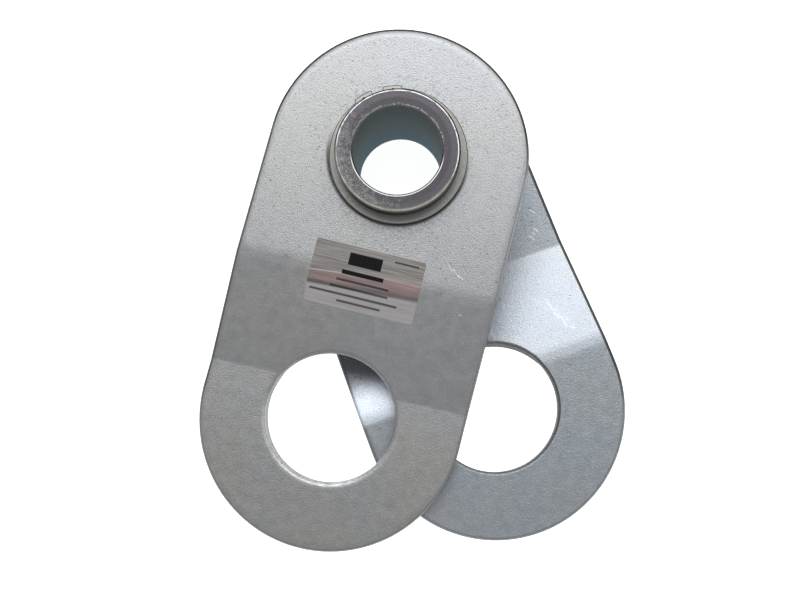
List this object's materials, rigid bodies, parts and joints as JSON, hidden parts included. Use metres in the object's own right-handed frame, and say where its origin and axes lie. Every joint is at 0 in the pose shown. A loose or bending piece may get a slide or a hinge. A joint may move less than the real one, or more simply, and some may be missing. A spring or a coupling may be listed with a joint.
{
  "type": "snatch block",
  "caption": "Snatch block: two joggled side plates swing on a hollow axle with a circlip at each end, over a grooved sheave, with a round shackle hole in each tail.",
  "frame": {"origin": "middle of the hollow axle", "axes": "+Z along the axle towards the front plate, -Y between the two splayed plates towards their tails"},
  "size_m": [0.1933, 0.2366, 0.058],
  "materials": {
    "zinc_plate": "dull zinc plating with a fine mottled grain",
    "foil": "brushed foil, bare of print",
    "axle_steel": "zinc plated, end face scuffed",
    "spring_steel": "plated spring steel",
    "washer_steel": "plain steel",
    "sheave_steel": "turned and zinc plated",
    "bronze": "sintered bronze"
  },
  "bodies": {
    "axle": {"axle_tube": "axle_steel", "front_circlip": "spring_steel", "rear_circlip": "spring_steel", "front_thrust_washer": "washer_steel", "rear_thrust_washer": "washer_steel"},
    "front_plate": {"front_plate": "zinc_plate", "foil_label": "foil"},
    "rear_plate": {"rear_plate": "zinc_plate"},
    "sheave": {"sheave": "sheave_steel", "sheave_bush": "bronze"}
  },
  "joints": [
    {"name": "front_plate_swing", "type": "hinge", "parent": "axle", "child": "front_plate", "pos_m": [0, 0, 0], "axis": [0, 0, 1], "continuous": true},
    {"name": "rear_plate_swing", "type": "hinge", "parent": "axle", "child": "rear_plate", "pos_m": [0, 0, 0], "axis": [0, 0, 1], "continuous": true},
    {"name": "sheave_spin", "type": "hinge", "parent": "axle", "child": "sheave", "pos_m": [0, 0, 0], "axis": [0, 0, 1], "continuous": true}
  ]
}
